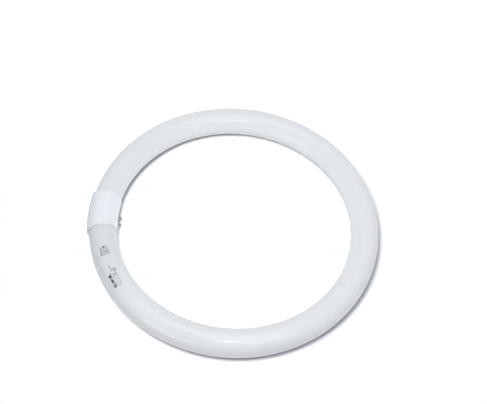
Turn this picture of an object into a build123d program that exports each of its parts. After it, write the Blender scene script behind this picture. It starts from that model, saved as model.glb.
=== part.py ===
"""Circular LED lamp: a ring tube whose two ends meet in a four-pin base.

The lamp is drawn with the ring's centre line flat in the XY plane and the base at -X. At the end
each piece is tipped and lifted, because the lamp lies on the tips of its two lower pins and on the
far side of its tube.
"""

import os
from math import asin, atan2, cos, degrees, hypot, radians, sin, sqrt

from build123d import *

# Ring tube
RING_DIAMETER = 305.0
TUBE_DIAMETER = 29.0
TUBE_END_GAP = 25.0
TUBE_END_ROUND = 1.0

# Base: two moulded halves closed round the tube's ends, thicker on the ring's outer side
BASE_LENGTH = 42.0
WALL_INSIDE_RING = 1.0
WALL_OUTSIDE_RING = 1.8
BASE_END_ROUND = 0.9
TUBE_CLEARANCE = 0.15
TONGUE_HEIGHT = 1.5
TONGUE_THICKNESS = 0.6
TONGUE_CLEARANCE = 0.05
STOP_HEIGHT = 2.0
STOP_THICKNESS = 2.2

# Flat that carries the contact pins, on the ring's inner side and turned down
PIN_TILT = 42.0
PAD_DEPTH = 1.3
PAD_LENGTH = 17.0
PAD_CORNER_ROUND = 1.0
PAD_THICKNESS = 2.0

# Contact pins, at the corners of a rectangle
PIN_SPACING_ALONG = 7.92
PIN_SPACING_ACROSS = 6.35
PIN_DIAMETER = 2.4
PIN_LENGTH = 6.8
PIN_TIP_ROUND = 0.9
PIN_COLLAR_DIAMETER = 3.6
PIN_COLLAR_THICKNESS = 0.8
PIN_TAIL_DIAMETER = 1.4
PIN_TAIL_PAST_BOARD = 0.8
PIN_CLEARANCE = 0.04

# Driver board, which lies on the stops of the pin half
BOARD_THICKNESS = 1.2
BOARD_DROP = 4.5
BOARD_CORNER_ROUND = 1.5
BOARD_EDGE_CLEARANCE = 0.35
BOARD_HOLE_CLEARANCE = 0.1

# Parts soldered to the board
CAPACITOR_DIAMETER = 8.0
CAPACITOR_HEIGHT = 11.5
CAPACITOR_EDGE_ROUND = 0.6
RECTIFIER_LENGTH = 4.7
CHIP_LENGTH = 4.9
PACKAGE_WIDTH = 3.9
PACKAGE_HEIGHT = 1.6
PACKAGE_CHAMFER = 0.3
PART_EDGE_MARGIN = 0.5

# Leads from the board into the tube's end
LEAD_DIAMETER = 1.3
LEAD_SPACING = 6.0
LEAD_RISE = 5.0
LEAD_BEND = 2.2
LEAD_SETBACK = 4.2
LEAD_OVERRUN = 3.0

# Sizes that follow from the ones above
TUBE_RADIUS = TUBE_DIAMETER / 2
RING_RADIUS = (RING_DIAMETER - TUBE_DIAMETER) / 2
CAVITY_RADIUS = TUBE_RADIUS + TUBE_CLEARANCE
BASE_RADIUS = CAVITY_RADIUS + (WALL_OUTSIDE_RING + WALL_INSIDE_RING) / 2
BASE_SHIFT = (WALL_OUTSIDE_RING - WALL_INSIDE_RING) / 2
BASE_HALF_ANGLE = degrees(BASE_LENGTH / 2 / RING_RADIUS)
TUBE_END_ANGLE = degrees(TUBE_END_GAP / 2 / RING_RADIUS)
STOP_ANGLE = degrees((TUBE_END_GAP / 2 - STOP_THICKNESS) / RING_RADIUS)
PAD_FACE = BASE_RADIUS - BASE_SHIFT * cos(radians(PIN_TILT)) - PAD_DEPTH
PAD_BACK = PAD_FACE - PAD_THICKNESS
BOARD_UNDERSIDE = PAD_BACK - BOARD_DROP
BOARD_TOP = BOARD_UNDERSIDE - BOARD_THICKNESS
BAY_WIDTH = (RING_RADIUS - CAVITY_RADIUS) * sin(radians(TUBE_END_ANGLE))
BOARD_LENGTH = 2 * (BAY_WIDTH - BOARD_EDGE_CLEARANCE)
BOARD_WIDTH = 2 * (sqrt(CAVITY_RADIUS**2 - BOARD_UNDERSIDE**2) - BOARD_EDGE_CLEARANCE)

# How the lamp lies: centre of the lower pins' rounded tips, inward of and below the tube's
# centre line, then the tip from level that rests them or else the base on the table
ROUND_OUT = PAD_FACE + PIN_LENGTH - PIN_TIP_ROUND
ROUND_ACROSS = PIN_SPACING_ACROSS / 2 + PIN_DIAMETER / 2 - PIN_TIP_ROUND
ROUND_IN = ROUND_OUT * cos(radians(PIN_TILT)) - ROUND_ACROSS * sin(radians(PIN_TILT))
ROUND_DOWN = ROUND_OUT * sin(radians(PIN_TILT)) + ROUND_ACROSS * cos(radians(PIN_TILT))
SPAN = 2 * RING_RADIUS - ROUND_IN
TIP_ON_PINS = atan2(ROUND_DOWN, SPAN) - asin((TUBE_RADIUS - PIN_TIP_ROUND) / hypot(SPAN, ROUND_DOWN))
TIP_ON_BASE = asin((BASE_RADIUS - TUBE_RADIUS) / (2 * RING_RADIUS + BASE_SHIFT))
REST_TIP = degrees(max(TIP_ON_PINS, TIP_ON_BASE))
REST_HEIGHT = TUBE_RADIUS + RING_RADIUS * sin(radians(REST_TIP))

# Section of the tube, in a plane through the ring's axis, and that of the base's outside
SECTION = Plane.XZ * Pos(-RING_RADIUS, 0)
BASE_SECTION = SECTION * Pos(-BASE_SHIFT, 0)
# Frame of the pins: X along the tube, Z from the tube's centre line out through the flat
PIN_FRAME = Plane(
    origin=(-RING_RADIUS, 0, 0),
    x_dir=(0, 1, 0),
    z_dir=(cos(radians(PIN_TILT)), 0, -sin(radians(PIN_TILT))),
).location
PIN_GRID = GridLocations(PIN_SPACING_ALONG, PIN_SPACING_ACROSS, 2, 2)
REST = Pos(0, 0, REST_HEIGHT) * Rot(0, REST_TIP, 0)


def arc_of(profile, start, sweep):
    """The section profile carried round the ring's axis, from start degrees past -X."""
    return Rot(0, 0, start) * revolve(profile, Axis.Z, sweep)


def along_base(profile, half_angle=BASE_HALF_ANGLE):
    """The section profile carried an equal way to each side of the base's middle."""
    return arc_of(profile, -half_angle, 2 * half_angle)


def beyond(depth):
    """Everything further than depth from the tube's centre line on the pins' side."""
    reach = 2 * RING_RADIUS
    return PIN_FRAME * Pos(0, 0, depth + reach / 2) * Box(reach, reach, reach)


def ring_tube():
    """The sealed tube, closed at both ends, with its edges fire-rounded."""
    sweep = 360 - 2 * TUBE_END_ANGLE
    tube = arc_of(SECTION * Circle(TUBE_RADIUS), TUBE_END_ANGLE, sweep)
    ends = tube.faces().filter_by(GeomType.PLANE)
    return fillet(ends.edges(), TUBE_END_ROUND)


def base_form():
    """The base's outside as one solid, with rounded ends."""
    form = along_base(BASE_SECTION * Circle(BASE_RADIUS))
    return fillet(form.faces().filter_by(GeomType.PLANE).edges(), BASE_END_ROUND)


def skin(radius):
    """A rod round the tube's centre line that runs out past both ends of the base."""
    return along_base(SECTION * Circle(radius), 2 * BASE_HALF_ANGLE)


def stops():
    """Two thick rings inside the base, one against each end of the tube."""
    root = Circle(CAVITY_RADIUS + WALL_INSIDE_RING / 2)
    solid = SECTION * (root - Circle(TUBE_RADIUS - STOP_HEIGHT))
    sweep = TUBE_END_ANGLE - STOP_ANGLE
    return arc_of(solid, STOP_ANGLE, sweep) + arc_of(solid, -TUBE_END_ANGLE, sweep)


def base_cover():
    """The plain half of the base, with a tongue along both parting edges."""
    wall = base_form() - skin(CAVITY_RADIUS)
    tongue = wall & skin(CAVITY_RADIUS + TONGUE_THICKNESS)
    return (wall + stops() - beyond(0)) + (tongue & beyond(0)) - beyond(TONGUE_HEIGHT)


def ledges():
    """The stops filled in up to the board's underside, for the board to lie on."""
    solid = SECTION * Circle(CAVITY_RADIUS + WALL_INSIDE_RING / 2)
    sweep = TUBE_END_ANGLE - STOP_ANGLE
    pair = arc_of(solid, STOP_ANGLE, sweep) + arc_of(solid, -TUBE_END_ANGLE, sweep)
    return pair & beyond(BOARD_UNDERSIDE)


def flat_cutter():
    """What is cut away for the flat, with rounded inner corners at its two ends."""
    depth = 2 * PAD_DEPTH
    cutter = Box(PAD_LENGTH, 2 * BASE_RADIUS, depth)
    corners = cutter.edges().filter_by(Axis.Y).group_by(Axis.Z)[0]
    return PIN_FRAME * Pos(0, 0, PAD_FACE + depth / 2) * fillet(corners, PAD_CORNER_ROUND)


def pin_base():
    """The half of the base with the flat, the four pin holes and the board's ledges."""
    form = base_form() & beyond(0)
    groove = skin(CAVITY_RADIUS + TONGUE_THICKNESS + TONGUE_CLEARANCE)
    half = form - skin(CAVITY_RADIUS) - (groove - beyond(TONGUE_HEIGHT + TONGUE_CLEARANCE))
    depth = BASE_RADIUS - PAD_BACK
    floor = PIN_FRAME * Pos(0, 0, PAD_BACK + depth / 2) * Box(BOARD_LENGTH, 2 * BASE_RADIUS, depth)
    half = half + (form & floor) + ledges() - flat_cutter()
    hole = Cylinder(PIN_DIAMETER / 2 + PIN_CLEARANCE, 4 * PAD_THICKNESS)
    seat = Cylinder(PIN_COLLAR_DIAMETER / 2 + PIN_CLEARANCE, 2 * PIN_COLLAR_THICKNESS)
    for place in PIN_GRID:
        half -= PIN_FRAME * place * Pos(0, 0, PAD_FACE) * (hole + seat)
    return half


def contact_pin(place):
    """One turned pin: round tip, collar let into the flat, thin tail soldered in the board."""
    shank = PIN_DIAMETER / 2
    collar = PIN_COLLAR_DIAMETER / 2
    tail = PIN_TAIL_DIAMETER / 2
    collar_foot = PAD_FACE - PIN_COLLAR_THICKNESS
    with BuildLine(Plane.XZ) as outline:
        Polyline(
            (0, BOARD_TOP - PIN_TAIL_PAST_BOARD),
            (tail, BOARD_TOP - PIN_TAIL_PAST_BOARD),
            (tail, PAD_BACK),
            (shank, PAD_BACK),
            (shank, collar_foot),
            (collar, collar_foot),
            (collar, PAD_FACE),
            (shank, PAD_FACE),
            (shank, PAD_FACE + PIN_LENGTH),
            (0, PAD_FACE + PIN_LENGTH),
            close=True,
        )
    turned = revolve(make_face(outline.line), Axis.Z)
    tip = turned.edges().group_by(Axis.Z)[-1]
    return PIN_FRAME * place * fillet(tip, PIN_TIP_ROUND)


def driver_board():
    """The board across the base's bay, with a hole for the tail of each pin."""
    blank = RectangleRounded(BOARD_LENGTH, BOARD_WIDTH, BOARD_CORNER_ROUND)
    holes = PIN_GRID * Circle(PIN_TAIL_DIAMETER / 2 + BOARD_HOLE_CLEARANCE)
    return PIN_FRAME * Pos(0, 0, BOARD_TOP) * extrude(blank - holes, BOARD_THICKNESS)


def on_board(shape, along, across, height):
    """The shape stood on the board's top, its height reaching away from the pins."""
    return PIN_FRAME * Pos(along, across, BOARD_TOP - height / 2) * shape


def smoothing_capacitor():
    """The can that smooths the mains, upright on the board beside the pins' tails."""
    can = Cylinder(CAPACITOR_DIAMETER / 2, CAPACITOR_HEIGHT)
    can = fillet(can.edges().group_by(Axis.Z)[0], CAPACITOR_EDGE_ROUND)
    across = BOARD_WIDTH / 2 - PART_EDGE_MARGIN - CAPACITOR_DIAMETER / 2
    return on_board(can, 0, across, CAPACITOR_HEIGHT)


def package(length, side):
    """A flat moulded component body at one side of the board's lower edge."""
    body = Box(length, PACKAGE_WIDTH, PACKAGE_HEIGHT)
    body = chamfer(body.edges().group_by(Axis.Z)[0], PACKAGE_CHAMFER)
    across = PART_EDGE_MARGIN + PACKAGE_WIDTH / 2 - BOARD_WIDTH / 2
    return on_board(body, side * BOARD_LENGTH / 4, across, PACKAGE_HEIGHT)


def lead(side):
    """One insulated lead: up from the board, round one bend and into the tube's end."""
    start = BOARD_LENGTH / 2 - LEAD_SETBACK
    across = side * LEAD_SPACING / 2
    route = FilletPolyline(
        (start, across, BOARD_TOP),
        (start, across, BOARD_TOP - LEAD_RISE),
        (BOARD_LENGTH / 2 + LEAD_OVERRUN, across, BOARD_TOP - LEAD_RISE),
        radius=LEAD_BEND,
    )
    wire = sweep(Plane(route @ 0, z_dir=route % 0) * Circle(LEAD_DIAMETER / 2), route)
    return PIN_FRAME * wire - ring_tube()


pieces = {
    "ring_tube": ring_tube(),
    "base_cover": base_cover(),
    "pin_base": pin_base(),
    "driver_board": driver_board(),
    "smoothing_capacitor": smoothing_capacitor(),
    "bridge_rectifier": package(RECTIFIER_LENGTH, -1),
    "driver_chip": package(CHIP_LENGTH, 1),
    "lead_positive": lead(1),
    "lead_negative": lead(-1),
}
for number, place in enumerate(PIN_GRID, start=1):
    pieces[f"contact_pin_{number}"] = contact_pin(place)

os.makedirs("parts", exist_ok=True)
for node, piece in pieces.items():
    export_step(REST * piece, f"parts/{node}.step")
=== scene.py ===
"""Circular LED lamp lying on a pale table, seen from above and in front.

Lengths are in metres. The lamp is worked out level, with the ring's centre line in the XY plane and
the base at -X. laid() then tips and lifts it, because it rests on two pins and on its far side.
"""

from math import atan, cos, pi, radians, sin

import bmesh
import bpy
import numpy as np
from mathutils import Matrix, Vector


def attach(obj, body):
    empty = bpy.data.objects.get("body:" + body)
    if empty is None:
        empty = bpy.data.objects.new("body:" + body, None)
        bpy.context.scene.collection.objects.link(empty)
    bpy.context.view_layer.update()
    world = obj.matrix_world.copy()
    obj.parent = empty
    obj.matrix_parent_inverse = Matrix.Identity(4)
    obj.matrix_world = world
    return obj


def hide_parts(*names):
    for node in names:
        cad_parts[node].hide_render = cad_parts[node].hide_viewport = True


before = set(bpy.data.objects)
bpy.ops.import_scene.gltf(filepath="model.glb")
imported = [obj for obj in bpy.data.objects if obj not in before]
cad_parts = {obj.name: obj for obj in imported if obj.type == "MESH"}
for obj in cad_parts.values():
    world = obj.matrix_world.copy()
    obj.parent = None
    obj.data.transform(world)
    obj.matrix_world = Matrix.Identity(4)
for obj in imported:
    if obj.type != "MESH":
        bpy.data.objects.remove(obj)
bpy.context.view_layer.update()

# Ring tube
# One glass tube, milky white right through, bent to a ring. Both ends are closed in the flame, so
# it is sealed, and it is held only by the base clasped round those ends.
RING_RADIUS = 0.138
TUBE_RADIUS = 0.0145
TUBE_END_GAP = 0.025
TUBE_END_ROUND = 0.001
REST_TIP = radians(0.56606)
REST_HEIGHT = 0.0158634
RING_STEPS = 541
ROUND_STEPS = 96
END_STEPS = 9
MILKY_WHITE = (0.776, 0.806, 0.838, 1.0)
# Painted shade: the greyer colour on the tube beside the base, and the Y at which it is gone and where it
# is whole.
PAINTED_SHADE_BESIDE_BASE = (0.728, 0.752, 0.775, 1.0)
PAINTED_SHADE_GONE = -0.085
PAINTED_SHADE_WHOLE = -0.045
GLASS_CLOUDS = (14.0, 0.012)
GLASS_SPECKS = (160.0, 0.006)
GLASS_GRAIN = (60.0, 0.00002)


def laid(points):
    """Points tipped about the Y axis by the rest tip, then lifted by the rest height."""
    x, y, z = np.moveaxis(np.asarray(points, float), -1, 0)
    tipped_x = cos(REST_TIP) * x + sin(REST_TIP) * z
    tipped_z = cos(REST_TIP) * z - sin(REST_TIP) * x
    return np.stack([tipped_x, y, tipped_z + REST_HEIGHT], axis=-1)


def on_tube(ring_angle, round_angle, radius):
    """The point at a distance radius from the tube's centre line.

    ring_angle goes round the ring from +X. round_angle goes round the tube from straight outward,
    up over the top. The point is the ring's circle, widened by radius times the cosine of
    round_angle and raised by radius times its sine.
    """
    reach = RING_RADIUS + radius * np.cos(round_angle)
    height = radius * np.sin(round_angle)
    return np.stack([reach * np.cos(ring_angle), reach * np.sin(ring_angle), height], axis=-1)


def closed_skin(name, grid):
    """A mesh over a grid of points whose first and last rows are poles and whose columns close up.

    Corner (i, j) of the inner rows is joined to (i, j+1), (i+1, j+1) and (i+1, j), with j taken
    round the row's end, and each pole is joined to its neighbouring row by a fan of triangles.
    """
    rows, columns = grid.shape[0] - 2, grid.shape[1]
    points = np.concatenate([grid[1:-1].reshape(-1, 3), grid[0, :1], grid[-1, :1]])
    i, j = np.meshgrid(np.arange(rows - 1), np.arange(columns), indexing="ij")
    after = (j + 1) % columns
    corners = (i * columns + j, i * columns + after, (i + 1) * columns + after, (i + 1) * columns + j)
    faces = np.stack(corners, axis=-1).reshape(-1, 4).tolist()
    side = np.arange(columns)
    turn = (side + 1) % columns
    first, last = rows * columns, rows * columns + 1
    base = (rows - 1) * columns
    faces += np.stack([np.full(columns, first), turn, side], axis=-1).tolist()
    faces += np.stack([np.full(columns, last), base + side, base + turn], axis=-1).tolist()
    return smooth_mesh(name, points, faces)


def smooth_mesh(name, points, faces):
    """An object at the origin with its place in its mesh, shaded smooth."""
    mesh = bpy.data.meshes.new(name)
    mesh.from_pydata(points.tolist(), [], faces)
    mesh.polygons.foreach_set("use_smooth", np.ones(len(mesh.polygons), bool))
    mesh.validate()
    mesh.update()
    piece = bpy.data.objects.new(name, mesh)
    bpy.context.scene.collection.objects.link(piece)
    return piece


def tube_grid():
    """Rows along the tube: out over one end, round its rim, along the ring and in over the other.

    The rim is a quarter circle, so its radius grows by the sine and its place by one less the
    cosine of the same angle.
    """
    end = TUBE_END_GAP / 2 / RING_RADIUS
    flat = np.linspace(0.0, TUBE_RADIUS - TUBE_END_ROUND, END_STEPS)
    rim = np.linspace(0, pi / 2, END_STEPS)[1:]
    radius = np.concatenate([flat, TUBE_RADIUS - TUBE_END_ROUND * (1 - np.sin(rim))])
    along = np.concatenate([0 * flat, TUBE_END_ROUND * (1 - np.cos(rim)) / RING_RADIUS])
    body = np.linspace(end + along[-1], 2 * pi - end - along[-1], RING_STEPS)[1:-1]
    angles = np.concatenate([end + along, body, (2 * pi - end - along)[::-1]]) + pi
    radii = np.concatenate([radius, np.full(body.size, TUBE_RADIUS), radius[::-1]])
    round_angle = np.linspace(0, 2 * pi, ROUND_STEPS, endpoint=False)
    return laid(on_tube(angles[:, None], round_angle[None, :], radii[:, None]))


def material(name, values):
    """A material of one Principled shader with the named sockets set, its node tree and shader."""
    made = bpy.data.materials.new(name)
    made.use_nodes = True
    shader = made.node_tree.nodes["Principled BSDF"]
    for socket, value in values.items():
        shader.inputs[socket].default_value = value
    return made, made.node_tree, shader


def math_node(tree, operation, *terms):
    """The output of a Math node whose terms are numbers or other nodes' outputs."""
    node = tree.nodes.new("ShaderNodeMath")
    node.operation = operation
    for socket, term in zip(node.inputs, terms):
        if isinstance(term, bpy.types.NodeSocket):
            tree.links.new(term, socket)
        else:
            socket.default_value = term
    return node.outputs[0]


def cloud_group():
    """Soft cloudiness: the colour scaled by one plus or minus an amount, after slow noise."""
    group = bpy.data.node_groups.new("cloudiness", "ShaderNodeTree")
    face = group.interface
    face.new_socket("Color", in_out="INPUT", socket_type="NodeSocketColor")
    face.new_socket("Scale", in_out="INPUT", socket_type="NodeSocketFloat")
    face.new_socket("Amount", in_out="INPUT", socket_type="NodeSocketFloat")
    face.new_socket("Color", in_out="OUTPUT", socket_type="NodeSocketColor")
    nodes, links = group.nodes, group.links
    given = nodes.new("NodeGroupInput")
    result = nodes.new("NodeGroupOutput")
    place = nodes.new("ShaderNodeTexCoord")
    noise = nodes.new("ShaderNodeTexNoise")
    noise.inputs["Detail"].default_value = 4.0
    level = nodes.new("ShaderNodeMapRange")
    level.inputs["From Min"].default_value = 0.3
    level.inputs["From Max"].default_value = 0.7
    scaled = nodes.new("ShaderNodeVectorMath")
    scaled.operation = "SCALE"
    links.new(place.outputs["Object"], noise.inputs["Vector"])
    links.new(given.outputs["Scale"], noise.inputs["Scale"])
    links.new(noise.outputs["Fac"], level.inputs["Value"])
    links.new(math_node(group, "SUBTRACT", 1.0, given.outputs["Amount"]), level.inputs["To Min"])
    links.new(math_node(group, "ADD", 1.0, given.outputs["Amount"]), level.inputs["To Max"])
    links.new(given.outputs["Color"], scaled.inputs[0])
    links.new(level.outputs["Result"], scaled.inputs["Scale"])
    links.new(scaled.outputs["Vector"], result.inputs["Color"])
    return group


def grain_group():
    """Fine unevenness of a skin: a normal bumped by noise of a given scale and depth."""
    group = bpy.data.node_groups.new("skin grain", "ShaderNodeTree")
    face = group.interface
    face.new_socket("Scale", in_out="INPUT", socket_type="NodeSocketFloat")
    face.new_socket("Depth", in_out="INPUT", socket_type="NodeSocketFloat")
    face.new_socket("Normal", in_out="OUTPUT", socket_type="NodeSocketVector")
    nodes, links = group.nodes, group.links
    given = nodes.new("NodeGroupInput")
    result = nodes.new("NodeGroupOutput")
    place = nodes.new("ShaderNodeTexCoord")
    noise = nodes.new("ShaderNodeTexNoise")
    noise.inputs["Detail"].default_value = 3.0
    bump = nodes.new("ShaderNodeBump")
    bump.inputs["Strength"].default_value = 1.0
    links.new(place.outputs["Object"], noise.inputs["Vector"])
    links.new(given.outputs["Scale"], noise.inputs["Scale"])
    links.new(given.outputs["Depth"], bump.inputs["Distance"])
    links.new(noise.outputs["Fac"], bump.inputs["Height"])
    links.new(bump.outputs["Normal"], result.inputs["Normal"])
    return group


cloudiness = cloud_group()
skin_grain = grain_group()


def clouded(tree, source, scale, amount):
    """The colour output of a cloudiness group fed by a colour or by another node's output."""
    node = tree.nodes.new("ShaderNodeGroup")
    node.node_tree = cloudiness
    if isinstance(source, tuple):
        node.inputs["Color"].default_value = source
    else:
        tree.links.new(source, node.inputs["Color"])
    node.inputs["Scale"].default_value = scale
    node.inputs["Amount"].default_value = amount
    return node.outputs["Color"]


def grained(tree, scale, depth):
    """The normal output of a skin grain group."""
    node = tree.nodes.new("ShaderNodeGroup")
    node.node_tree = skin_grain
    node.inputs["Scale"].default_value = scale
    node.inputs["Depth"].default_value = depth
    return node.outputs["Normal"]


def opal_glass():
    """Milky glass: a soft white body under a clear fired skin, a little greyer at one end.

    The greyer colour is painted shade on the quarter of the ring at -X and -Y, standing in for the
    shade beside the base. It is whole beside the base and fades out smoothly along Y.
    """
    made, tree, shader = material("opal glass", {
        "Roughness": 0.16,
        "IOR": 1.5,
        "Specular IOR Level": 0.30,
        "Subsurface Weight": 0.15,
        "Subsurface Radius": (0.004, 0.004, 0.005),
        "Subsurface Scale": 0.5,
        "Coat Weight": 0.8,
        "Coat Roughness": 0.12,
        "Coat IOR": 1.45,
    })
    nodes, links = tree.nodes, tree.links
    place = nodes.new("ShaderNodeTexCoord")
    split = nodes.new("ShaderNodeSeparateXYZ")
    links.new(place.outputs["Object"], split.inputs[0])
    along = nodes.new("ShaderNodeMapRange")
    along.interpolation_type = "SMOOTHSTEP"
    along.inputs["From Min"].default_value = PAINTED_SHADE_GONE
    along.inputs["From Max"].default_value = PAINTED_SHADE_WHOLE
    links.new(split.outputs["Y"], along.inputs["Value"])
    on_near_side = math_node(tree, "LESS_THAN", split.outputs["Y"], 0.0)
    on_base_side = math_node(tree, "LESS_THAN", split.outputs["X"], 0.0)
    quarter = math_node(tree, "MULTIPLY", on_near_side, on_base_side)
    # Painted shade: the greyer colour goes where the shade beside the base falls, on the near quarter at
    # -X.
    painted_shade_mask = math_node(tree, "MULTIPLY", along.outputs["Result"], quarter)
    blend = nodes.new("ShaderNodeMix")
    blend.data_type = "RGBA"
    blend.inputs["A"].default_value = MILKY_WHITE
    blend.inputs["B"].default_value = PAINTED_SHADE_BESIDE_BASE
    links.new(painted_shade_mask, blend.inputs["Factor"])
    slow = clouded(tree, blend.outputs["Result"], *GLASS_CLOUDS)
    links.new(clouded(tree, slow, *GLASS_SPECKS), shader.inputs["Base Color"])
    links.new(grained(tree, *GLASS_GRAIN), shader.inputs["Normal"])
    return made


tube = closed_skin("glass_ring_tube", tube_grid())
tube.data.materials.append(opal_glass())
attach(tube, "root")
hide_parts("ring_tube")

# Marking on the tube
# Grey ink printed on the glass beside the base, a thin film on it. It is plain blocks and bars with
# no words, in five greys one over another, in the two places where such a lamp is marked.

# Each ink: its colour, how unevenly it has worn, and the thickness of its film.
INKS = {
    "faint": ((0.63, 0.67, 0.69, 1.0), 0.04, 0.00004),
    "pale": ((0.53, 0.57, 0.59, 1.0), 0.06, 0.00002),
    "soft": ((0.40, 0.435, 0.455, 1.0), 0.12, 0.00005),
    "middle": ((0.22, 0.24, 0.25, 1.0), 0.25, 0.00006),
    "dark": ((0.045, 0.050, 0.056, 1.0), 0.45, 0.00008),
}
FIRST_MARK = (radians(201.0), radians(73.0))
SECOND_MARK = (radians(215.6), radians(76.0))
INK_SPECKS = 420.0
PATCH_STEPS = 40


def film_patch(centre, film, along, across, length, width, power):
    """Grid of a closed block of ink, wrapped on the tube.

    along and across place its middle from the mark's centre in metres. Its edge is where the power
    of the share of half the length and that of half the width add up to one, so a power of 2 is an
    oval and a high one a rectangle. A row is a ring round the block from its middle out to its
    edge, then back to its middle under the glass's surface.
    """
    rim = np.linspace(0, 2 * pi, PATCH_STEPS, endpoint=False)
    edge = (np.abs(np.cos(rim)) ** power + np.abs(np.sin(rim)) ** power) ** (1 / power)
    share = np.array([0.0, 0.2, 0.4, 0.6, 0.8, 0.95, 1.0, 1.0, 0.5, 0.0])[:, None]
    lift = np.array([1.0, 1.0, 1.0, 1.0, 1.0, 1.0, 0.6, -1.0, -1.0, -1.0])[:, None] * film
    run = along + share * np.cos(rim) / edge * length / 2
    rise = across + share * np.sin(rim) / edge * width / 2
    ring_angle = centre[0] + run / RING_RADIUS
    round_angle = centre[1] + rise / TUBE_RADIUS
    return laid(on_tube(ring_angle, round_angle, TUBE_RADIUS + lift + 0 * run))


def worn_ink(name, colour, wear):
    """Matt grey ink, thinner in places."""
    made, tree, shader = material(name, {"Roughness": 0.55})
    tree.links.new(clouded(tree, colour, INK_SPECKS, wear), shader.inputs["Base Color"])
    return made


# Each block: its ink, its middle along and across the tube, its length, its width and its power.
first_blocks = [
    ("pale", 0.0021, 0.0026, 0.0106, 0.0092, 6),
    ("soft", 0.0018, -0.0014, 0.0084, 0.0012, 6),
    ("soft", 0.0044, 0.0001, 0.0010, 0.0042, 6),
    ("middle", 0.0031, 0.0046, 0.0009, 0.0042, 8),
    ("middle", 0.0053, -0.0018, 0.0016, 0.0013, 2),
    ("dark", -0.0026, 0.0028, 0.0021, 0.0020, 2),
]
second_blocks = [
    ("pale", 0.0012, 0.0006, 0.0150, 0.0068, 3),
    ("faint", 0.0014, 0.0004, 0.0128, 0.0054, 3),
    ("soft", -0.0044, 0.0021, 0.0020, 0.0044, 3),
    ("pale", -0.0092, 0.0037, 0.0054, 0.0044, 2),
    ("soft", -0.0096, 0.0036, 0.0026, 0.0030, 2),
    ("soft", -0.0124, 0.0003, 0.0078, 0.0012, 6),
    ("middle", -0.0068, -0.0024, 0.0030, 0.0008, 6),
    ("soft", 0.0014, -0.0040, 0.0130, 0.0026, 8),
    ("dark", -0.0046, -0.0039, 0.0028, 0.0034, 2),
    ("dark", 0.0008, -0.0040, 0.0034, 0.0020, 3),
    ("middle", 0.0066, -0.0043, 0.0034, 0.0032, 4),
]
inks, films = {}, {}
for shade, (colour, wear, film) in INKS.items():
    inks[shade] = worn_ink(f"{shade} grey ink", colour, wear)
    films[shade] = film

marks = (("first", FIRST_MARK, first_blocks), ("second", SECOND_MARK, second_blocks))
for mark, centre, blocks in marks:
    for number, (shade, *block) in enumerate(blocks, start=1):
        patch = closed_skin(f"marking_{mark}_{number}", film_patch(centre, films[shade], *block))
        patch.data.materials.append(inks[shade])
        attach(patch, "root")

# Base
# Two white moulded shells, one with the flat for the pins and one plain, snapped together by a
# tongue and a groove round the tube's two ends. The plastic is satin and a little bluer than the glass.
BASE_WHITE = (0.828, 0.873, 0.927, 1.0)
BASE_CLOUDS = (45.0, 0.010)
BASE_SPECKS = (900.0, 0.008)
BASE_GRAIN = (3500.0, 0.000012)
MOULD_EDGE = 0.00018
WELD_WITHIN = 2e-6
FLAT_WITHIN = radians(0.3)
SHARP_FROM = radians(28)
EASED_FROM = radians(35)


def base_plastic():
    """Satin injection-moulded plastic with a very fine spark-eroded skin."""
    made, tree, shader = material("base plastic", {
        "Roughness": 0.38,
        "IOR": 1.49,
        "Specular IOR Level": 0.75,
        "Subsurface Weight": 0.08,
        "Subsurface Radius": (0.002, 0.002, 0.002),
        "Subsurface Scale": 0.5,
    })
    slow = clouded(tree, BASE_WHITE, *BASE_CLOUDS)
    tree.links.new(clouded(tree, slow, *BASE_SPECKS), shader.inputs["Base Color"])
    tree.links.new(grained(tree, *BASE_GRAIN), shader.inputs["Normal"])
    return made


def moulded_copy(node, name):
    """The CAD shell as one welded skin, its crisp edges eased as they leave the mould."""
    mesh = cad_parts[node].data.copy()
    mesh.name = name
    mesh.materials.clear()
    skin = bmesh.new()
    skin.from_mesh(mesh)
    bmesh.ops.remove_doubles(skin, verts=skin.verts, dist=WELD_WITHIN)
    bmesh.ops.dissolve_limit(skin, angle_limit=FLAT_WITHIN, verts=skin.verts, edges=skin.edges)
    skin.to_mesh(mesh)
    skin.free()
    mesh.polygons.foreach_set("use_smooth", np.ones(len(mesh.polygons), bool))
    mesh.set_sharp_from_angle(angle=SHARP_FROM)
    piece = bpy.data.objects.new(name, mesh)
    bpy.context.scene.collection.objects.link(piece)
    ease = piece.modifiers.new("eased edges", "BEVEL")
    ease.width = MOULD_EDGE
    ease.segments = 2
    ease.limit_method = "ANGLE"
    ease.angle_limit = EASED_FROM
    ease.harden_normals = True
    return piece


plastic = base_plastic()
for node, name in (("base_cover", "base_cover_shell"), ("pin_base", "base_pin_shell")):
    shell = moulded_copy(node, name)
    shell.data.materials.append(plastic)
    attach(shell, "root")
    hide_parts(node)

# Contact pins
# Four brass pins with a dull nickel plate, turned with a round tip and a collar that sits in the
# flat. The tail goes through the board, and a speck of solder closes the tip.
PIN_TILT = radians(42.0)
PIN_ALONG = 0.00792
PIN_ACROSS = 0.00635
PAD_FACE = 0.0144527
PIN_LENGTH = 0.0068
PIN_RADIUS = 0.0012
PIN_BACK = 0.0020
PIN_TIP_ROUND = 0.0009
COLLAR_RADIUS = 0.0018
COLLAR_DEPTH = 0.0008
TAIL_RADIUS = 0.0007
TAIL_LENGTH = 0.0065
FINE_EDGE = 0.0001
SOFT_EDGE = 0.0002
SPIN_STEPS = 48
NICKEL = (0.34, 0.345, 0.36, 1.0)
NICKEL_CLOUDS = (700.0, 0.10)
NICKEL_SCUFFS = (2600.0, 0.000015)


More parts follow.
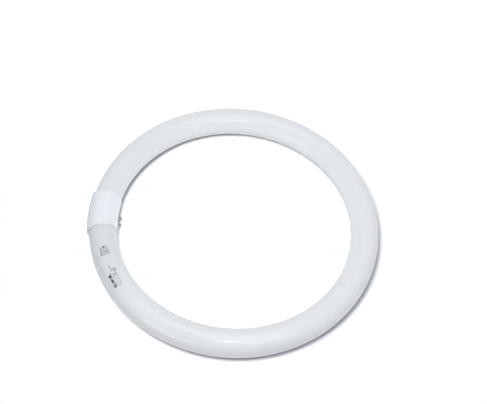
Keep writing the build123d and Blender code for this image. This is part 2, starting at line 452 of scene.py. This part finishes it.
def turned(profile):
    """Grid of a profile of (radius, height) rows spun round the Z axis."""
    spin = np.linspace(0, 2 * pi, SPIN_STEPS, endpoint=False)
    radius, height = profile[:, :1], profile[:, 1:]
    return np.stack([radius * np.cos(spin), radius * np.sin(spin), height + 0 * spin], axis=-1)


def arc(middle, size, turn_from, turn_to, steps=5):
    """Points of an arc of a given size about a middle, in (radius, height)."""
    angle = np.linspace(turn_from, turn_to, steps)
    return np.stack([middle[0] + size * np.cos(angle), middle[1] + size * np.sin(angle)], axis=-1)


def pin_profile():
    """The pin from its tail up through the collar to its tip, with a solder speck sunk in the tip.

    Heights are from the tube's centre line out through the flat. The collar's face lies in the flat.
    """
    face = PAD_FACE
    collar_foot = face - COLLAR_DEPTH
    back = face - PIN_BACK
    tail_end = back - TAIL_LENGTH
    top = face + PIN_LENGTH
    rows = [
        [[0.0, tail_end], [TAIL_RADIUS - SOFT_EDGE - FINE_EDGE, tail_end]],
        arc((TAIL_RADIUS - SOFT_EDGE, tail_end + SOFT_EDGE), SOFT_EDGE, -pi / 2, 0),
        [[TAIL_RADIUS, back - FINE_EDGE], [TAIL_RADIUS, back], [TAIL_RADIUS + FINE_EDGE, back]],
        [[PIN_RADIUS - FINE_EDGE, back], [PIN_RADIUS, back + FINE_EDGE]],
        [[PIN_RADIUS, collar_foot], [PIN_RADIUS + FINE_EDGE, collar_foot]],
        arc((COLLAR_RADIUS - FINE_EDGE, collar_foot + FINE_EDGE), FINE_EDGE, -pi / 2, 0),
        arc((COLLAR_RADIUS - SOFT_EDGE, face - SOFT_EDGE), SOFT_EDGE, 0, pi / 2),
        [[PIN_RADIUS + FINE_EDGE, face], [PIN_RADIUS, face], [PIN_RADIUS, face + SOFT_EDGE]],
        [[PIN_RADIUS, top - PIN_TIP_ROUND]],
        arc((PIN_RADIUS - PIN_TIP_ROUND, top - PIN_TIP_ROUND), PIN_TIP_ROUND, 0.15, pi / 2, 10),
        [[0.00026, top - 0.00003], [0.00015, top - 0.00012], [0.0, top - 0.00015]],
    ]
    return np.concatenate([np.asarray(part, float) for part in rows])


def beside_base(points, along, across):
    """Points of the pins' own frame carried to the base.

    There X runs along the tube, Z comes out through the flat, and Y completes the corner.
    """
    x, y, z = np.moveaxis(points, -1, 0)
    across_tube = y + across
    inward = z * cos(PIN_TILT) + across_tube * sin(PIN_TILT)
    upward = across_tube * cos(PIN_TILT) - z * sin(PIN_TILT)
    return laid(np.stack([inward - RING_RADIUS, x + along, upward], axis=-1))


def dull_nickel():
    """Plated metal, faintly clouded, with fine scuffs."""
    made, tree, shader = material("dull nickel", {"Metallic": 1.0, "Roughness": 0.32})
    tree.links.new(clouded(tree, NICKEL, *NICKEL_CLOUDS), shader.inputs["Base Color"])
    tree.links.new(grained(tree, *NICKEL_SCUFFS), shader.inputs["Normal"])
    return made


nickel = dull_nickel()
pin_places = [(i, j) for i in (-1, 1) for j in (-1, 1)]
for number, (i, j) in enumerate(pin_places, start=1):
    grid = beside_base(turned(pin_profile()), i * PIN_ALONG / 2, j * PIN_ACROSS / 2)
    pin = closed_skin(f"nickel_pin_{number}", grid)
    pin.data.materials.append(nickel)
    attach(pin, "root")
    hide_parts(f"contact_pin_{number}")

# Driver board and what is soldered to it
# A small green board on two ledges inside the pin shell, with the can that smooths the mains and
# two black moulded packages on it. The closed base hides them.
INNER_GRAIN = (3000.0, 0.00001)

# Each finish: its slot, colour and roughness, then the scale and amount of its cloudiness.
inner_finishes = {
    "driver_board": ("circuit_board", (0.012, 0.085, 0.030, 1.0), 0.35, 600.0, 0.25),
    "smoothing_capacitor": ("capacitor_sleeve", (0.012, 0.012, 0.016, 1.0), 0.30, 300.0, 0.15),
    "bridge_rectifier": ("component_body", (0.016, 0.016, 0.016, 1.0), 0.55, 900.0, 0.20),
    "driver_chip": ("component_body", (0.018, 0.018, 0.018, 1.0), 0.55, 900.0, 0.20),
    "lead_positive": ("lead_red", (0.36, 0.010, 0.010, 1.0), 0.35, 500.0, 0.12),
    "lead_negative": ("lead_black", (0.010, 0.010, 0.010, 1.0), 0.35, 500.0, 0.12),
}
for node, (slot, colour, roughness, scale, amount) in inner_finishes.items():
    made, tree, shader = material(node.replace("_", " "), {"Roughness": roughness})
    tree.links.new(clouded(tree, colour, scale, amount), shader.inputs["Base Color"])
    tree.links.new(grained(tree, *INNER_GRAIN), shader.inputs["Normal"])
    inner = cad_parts[node]
    inner.data.materials.clear()
    inner.data.materials.append(made)

# Table
# A wide pale matt sheet. The lamp above the tube's near left clips it to white, so that only the
# thin shadow beside the tube stays on it, as in an overexposed product photograph.
FLOOR_SIDE = 8.0
FLOOR_SEEN = (0.475, 0.49, 0.515, 1.0)
FLOOR_BOUNCE = (0.17, 0.17, 0.17, 1.0)
FLOOR_MIRRORED = 0.9
WHITE_FROM = 0.17
WHITE_BEYOND = 0.26


def pale_sheet():
    """A matt sheet: its own shade for camera rays, and a lower one for light that bounces.

    Mirrored rays see it as an even white, and so does the camera far from the lamp.
    """
    made = bpy.data.materials.new("pale sheet")
    made.use_nodes = True
    tree = made.node_tree
    nodes, links = tree.nodes, tree.links
    nodes.clear()
    path = nodes.new("ShaderNodeLightPath")
    shade = nodes.new("ShaderNodeMix")
    shade.data_type = "RGBA"
    shade.inputs["A"].default_value = FLOOR_BOUNCE
    shade.inputs["B"].default_value = FLOOR_SEEN
    matt = nodes.new("ShaderNodeBsdfDiffuse")
    mirrored = nodes.new("ShaderNodeEmission")
    mirrored.inputs["Strength"].default_value = FLOOR_MIRRORED
    shiny = math_node(tree, "MAXIMUM", path.outputs["Is Glossy Ray"], path.outputs["Is Transmission Ray"])
    blend = nodes.new("ShaderNodeMixShader")
    place = nodes.new("ShaderNodeTexCoord")
    away = nodes.new("ShaderNodeVectorMath")
    away.operation = "LENGTH"
    far = nodes.new("ShaderNodeMapRange")
    far.interpolation_type = "SMOOTHSTEP"
    far.inputs["From Min"].default_value = WHITE_FROM
    far.inputs["From Max"].default_value = WHITE_BEYOND
    far_seen = math_node(tree, "MULTIPLY", far.outputs["Result"], path.outputs["Is Camera Ray"])
    paper = nodes.new("ShaderNodeEmission")
    spread = nodes.new("ShaderNodeMixShader")
    result = nodes.new("ShaderNodeOutputMaterial")
    links.new(path.outputs["Is Camera Ray"], shade.inputs["Factor"])
    links.new(shade.outputs["Result"], matt.inputs["Color"])
    links.new(shiny, blend.inputs["Fac"])
    links.new(matt.outputs[0], blend.inputs[1])
    links.new(mirrored.outputs[0], blend.inputs[2])
    links.new(place.outputs["Object"], away.inputs[0])
    links.new(away.outputs["Value"], far.inputs["Value"])
    links.new(far_seen, spread.inputs["Fac"])
    links.new(blend.outputs[0], spread.inputs[1])
    links.new(paper.outputs[0], spread.inputs[2])
    links.new(spread.outputs[0], result.inputs["Surface"])
    return made


half = FLOOR_SIDE / 2
floor_corners = np.array([[-half, -half, 0], [half, -half, 0], [half, half, 0], [-half, half, 0]])
floor = smooth_mesh("table_sheet", floor_corners, [[0, 1, 2, 3]])
floor.data.materials.append(pale_sheet())

# Light
# White surroundings, three soft boxes, and a small lamp over the camera for the thin streaks on the
# glass. A spot inside the ring and a wide lamp above the tube's near left light the sheet, and a dark
# card on the left shades the tube beside the base.
AROUND = 0.74
SPOT_HEIGHT = 1.2
SPOT_REACH = 0.125
SPOT_POWER = 140.0
SPOT_BLEND = 0.25
SPOT_RADIUS = 0.01
SHEET_LAMP_PLACE = (-0.165, -0.255, 0.800)
SHEET_LAMP_AIM = (0.10, 0.12, 0.0)
SHEET_LAMP_REACH = radians(36)
SHEET_LAMP_BLEND = 1.0
SHEET_LAMP_RADIUS = 0.18
SHEET_LAMP_POWER = 70.0


def hung(light, place, aim=(0.0, 0.0, 0.0)):
    """The object of a lamp at a place, turned so that it shines at the aim."""
    holder = bpy.data.objects.new(light.name, light)
    bpy.context.scene.collection.objects.link(holder)
    holder.location = place
    holder.rotation_mode = "QUATERNION"
    holder.rotation_quaternion = (Vector(place) - Vector(aim)).to_track_quat("Z", "Y")
    return holder


def soft_lamp(name, azimuth, elevation, distance, side, radiance):
    """A square lamp that faces the ring's middle, of power radiance times pi times its area."""
    light = bpy.data.lights.new(name, "AREA")
    light.shape = "SQUARE"
    light.size = side
    light.energy = radiance * pi * side * side
    a, e = radians(azimuth), radians(elevation)
    return hung(light, Vector((cos(a) * cos(e), sin(a) * cos(e), sin(e))) * distance)


def spot_lamp(name, half_angle, blend, radius, power, place, aim=(0.0, 0.0, 0.0)):
    """A round lamp that lights a cone of the given half angle, fading out over a share of it."""
    light = bpy.data.lights.new(name, "SPOT")
    light.spot_size = 2 * half_angle
    light.spot_blend = blend
    light.shadow_soft_size = radius
    light.energy = power
    return hung(light, place, aim)


soft_lamp("overhead soft box", 95, 80, 1.3, 0.6, 1.2)
soft_lamp("front soft box", -64, 62, 1.6, 0.9, 1.2)
soft_lamp("low soft box", -130, 14, 1.3, 0.5, 1.6)
soft_lamp("small bright lamp", -85, 69, 0.9, 0.066, 26.0)
spot_lamp(
    "spot on the middle",
    atan(SPOT_REACH / SPOT_HEIGHT),
    SPOT_BLEND,
    SPOT_RADIUS,
    SPOT_POWER,
    (0.0, 0.0, SPOT_HEIGHT),
)
sheet_lamp = spot_lamp(
    "sheet lamp",
    SHEET_LAMP_REACH,
    SHEET_LAMP_BLEND,
    SHEET_LAMP_RADIUS,
    SHEET_LAMP_POWER,
    SHEET_LAMP_PLACE,
    SHEET_LAMP_AIM,
)
lit_by_it = bpy.data.collections.new("lit by the sheet lamp")
lit_by_it.objects.link(floor)
sheet_lamp.light_linking.receiver_collection = lit_by_it

CARD_TOWARDS = radians(197)
CARD_AWAY = 0.29
CARD_HEIGHT = 0.10
CARD_WIDTH = 0.10
CARD_SHADE = (0.0, 0.0, 0.0, 1.0)
card_across = np.array([-1, 1, 1, -1]) * CARD_WIDTH / 2
card_corners = np.stack([
    CARD_AWAY * cos(CARD_TOWARDS) - card_across * sin(CARD_TOWARDS),
    CARD_AWAY * sin(CARD_TOWARDS) + card_across * cos(CARD_TOWARDS),
    np.array([0, 0, 1, 1]) * CARD_HEIGHT,
], axis=-1)
card = smooth_mesh("grey_card", card_corners, [[0, 1, 2, 3]])
card_look, *_ = material("grey card", {
    "Base Color": CARD_SHADE,
    "Roughness": 0.9,
})
card.data.materials.append(card_look)
card.visible_camera = False
passed_by_it = bpy.data.collections.new("no shadow from the sheet lamp")
passed_by_it.objects.link(card)
passed_by_it.collection_objects[0].light_linking.link_state = "EXCLUDE"
sheet_lamp.light_linking.blocker_collection = passed_by_it

world = bpy.data.worlds.new("white surroundings")
bpy.context.scene.world = world
world.use_nodes = True
tree = world.node_tree
nodes, links = tree.nodes, tree.links
nodes.clear()
path = nodes.new("ShaderNodeLightPath")
seen = math_node(tree, "MAXIMUM", path.outputs["Is Camera Ray"], path.outputs["Is Glossy Ray"])
shown = math_node(tree, "MAXIMUM", seen, path.outputs["Is Transmission Ray"])
strength = nodes.new("ShaderNodeMapRange")
strength.inputs["To Min"].default_value = AROUND
strength.inputs["To Max"].default_value = 1.0
background = nodes.new("ShaderNodeBackground")
background.inputs["Color"].default_value = (1.0, 1.0, 1.0, 1.0)
sky = nodes.new("ShaderNodeOutputWorld")
links.new(shown, strength.inputs["Value"])
links.new(strength.outputs["Result"], background.inputs["Strength"])
links.new(background.outputs[0], sky.inputs["Surface"])

# Camera
# The photograph's view: from in front and well above, rolled a little, with the ring left of and
# above the middle of the image.
TURN = 0.80
ELEVATION = 57.49
ROLL = 4.06
DISTANCE = 0.9304
IMAGE_WIDTH = 487
SENSOR_WIDTH = 36.0
FOCAL_PIXELS = 880.4
SHIFT_RIGHT = 9.15
SHIFT_UP = 21.28

turn, rise, roll = radians(TURN), radians(ELEVATION), radians(ROLL)
back = Vector((-sin(turn) * cos(rise), -cos(turn) * cos(rise), sin(rise)))
level = (-back).cross(Vector((0, 0, 1))).normalized()
upright = level.cross(-back)
right = cos(roll) * level + sin(roll) * upright
up = cos(roll) * upright - sin(roll) * level
camera = bpy.data.objects.new("camera", bpy.data.cameras.new("camera"))
bpy.context.scene.collection.objects.link(camera)
stand = Vector((0, 0, REST_HEIGHT)) + back * DISTANCE
facing = Matrix((right, up, back)).transposed().to_4x4()
camera.matrix_world = Matrix.Translation(stand) @ facing
camera.data.sensor_width = SENSOR_WIDTH
camera.data.lens = FOCAL_PIXELS * SENSOR_WIDTH / IMAGE_WIDTH
camera.data.shift_x = SHIFT_RIGHT / IMAGE_WIDTH
camera.data.shift_y = SHIFT_UP / IMAGE_WIDTH
camera.data.clip_start = 0.01
camera.data.clip_end = 50.0
bpy.context.scene.camera = camera
bpy.context.scene.view_settings.view_transform = "Standard"
